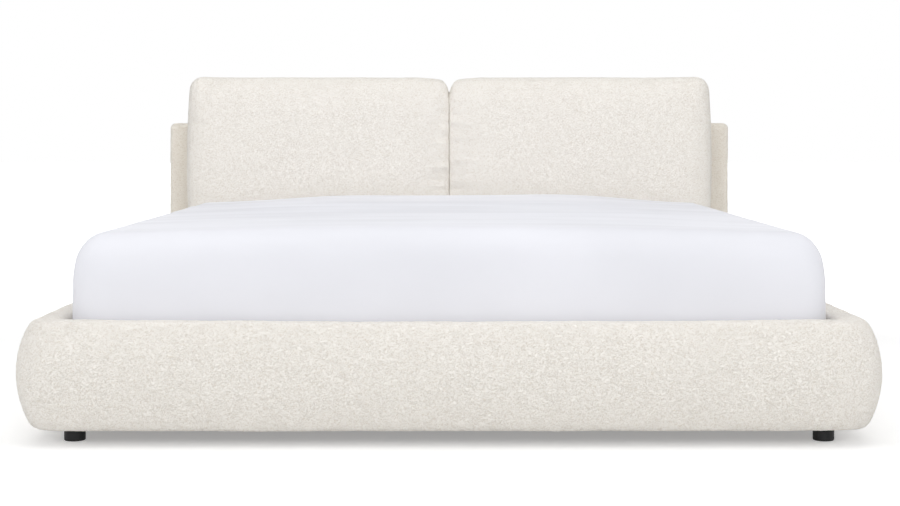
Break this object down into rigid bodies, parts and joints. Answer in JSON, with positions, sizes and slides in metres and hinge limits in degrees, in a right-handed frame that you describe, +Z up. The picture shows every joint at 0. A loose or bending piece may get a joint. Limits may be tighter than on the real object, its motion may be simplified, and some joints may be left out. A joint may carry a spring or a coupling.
{
  "type": "upholstered bed",
  "caption": "King-size bed with bulging boucle rails round a slatted deck, a low padded headboard, loose headboard cushions and a sheeted mattress.",
  "frame": {"origin": "on the floor, under the middle of the bed's overall box", "axes": "+Z up, +Y from the foot end to the headboard, +X to the right seen from the foot end"},
  "size_m": [2.18, 2.437, 0.99],
  "materials": {
    "boucle": "off-white looped boucle upholstery over foam",
    "back_cloth": "plain off-white woven cloth over a closing board",
    "sheet_cotton": "smooth white cotton",
    "mattress_ticking": "white quilted ticking",
    "cushion_foam": "pale foam",
    "plywood": "bare plywood",
    "pine": "bare planed pine",
    "webbing": "woven tape",
    "black_steel": "black powder coat",
    "zinc_steel": "zinc plated",
    "black_plastic": "matt black moulding"
  },
  "bodies": {
    "frame": {"beam_hangers": "black_steel", "centre_beam": "black_steel", "centre_leg_1": "black_steel", "centre_leg_2": "black_steel", "centre_leg_3": "black_steel", "corner_blocks": "pine", "foot_bolts": "zinc_steel", "foot_slat_ledge": "pine", "footboard_board": "plywood", "footboard_padding": "boucle", "frame_bolts": "zinc_steel", "grip_tapes": "webbing", "headboard_back_cover": "back_cloth", "headboard_bottom_rails": "pine", "headboard_brackets": "black_steel", "headboard_centre_post": "pine", "headboard_padding": "boucle", "headboard_plywood": "plywood", "headboard_top_rails": "pine", "left_foot_return_board": "plywood", "left_front_foot": "black_plastic", "left_headboard_post": "pine", "left_rail_board": "plywood", "left_rail_padding": "boucle", "left_rear_foot": "black_plastic", "left_slat_ledge": "pine", "rail_joint_plates": "black_steel", "right_foot_return_board": "plywood", "right_front_foot": "black_plastic", "right_headboard_post": "pine", "right_rail_board": "plywood", "right_rail_padding": "boucle", "right_rear_foot": "black_plastic", "right_slat_ledge": "pine", "slat_01": "pine", "slat_02": "pine", "slat_03": "pine", "slat_04": "pine", "slat_05": "pine", "slat_06": "pine", "slat_07": "pine", "slat_08": "pine", "slat_09": "pine", "slat_10": "pine", "slat_11": "pine", "slat_12": "pine", "slat_13": "pine", "slat_14": "pine", "slat_screws": "zinc_steel", "slat_straps": "webbing", "threaded_inserts": "zinc_steel"},
    "mattress": {"mattress": "mattress_ticking", "fitted_sheet": "sheet_cotton"},
    "left_cushion": {"left_cushion_cover": "boucle", "left_cushion_core": "cushion_foam"},
    "right_cushion": {"right_cushion_cover": "boucle", "right_cushion_core": "cushion_foam"},
    "glide_1": {"levelling_glide_1": "black_plastic"},
    "glide_2": {"levelling_glide_2": "black_plastic"},
    "glide_3": {"levelling_glide_3": "black_plastic"}
  },
  "joints": [
    {"name": "mattress_lift", "type": "slide", "parent": "frame", "child": "mattress", "axis": [0, 0, 1], "range_m": [0, 0.35]},
    {"name": "left_cushion_lift", "type": "slide", "parent": "frame", "child": "left_cushion", "axis": [0, 0, 1], "range_m": [0, 0.6]},
    {"name": "right_cushion_lift", "type": "slide", "parent": "frame", "child": "right_cushion", "axis": [0, 0, 1], "range_m": [0, 0.6]},
    {"name": "glide_1_travel", "type": "slide", "parent": "frame", "child": "glide_1", "axis": [0, 0, 1], "range_m": [-0.012, 0]},
    {"name": "glide_2_travel", "type": "slide", "parent": "frame", "child": "glide_2", "axis": [0, 0, 1], "range_m": [-0.012, 0]},
    {"name": "glide_3_travel", "type": "slide", "parent": "frame", "child": "glide_3", "axis": [0, 0, 1], "range_m": [-0.012, 0]}
  ]
}
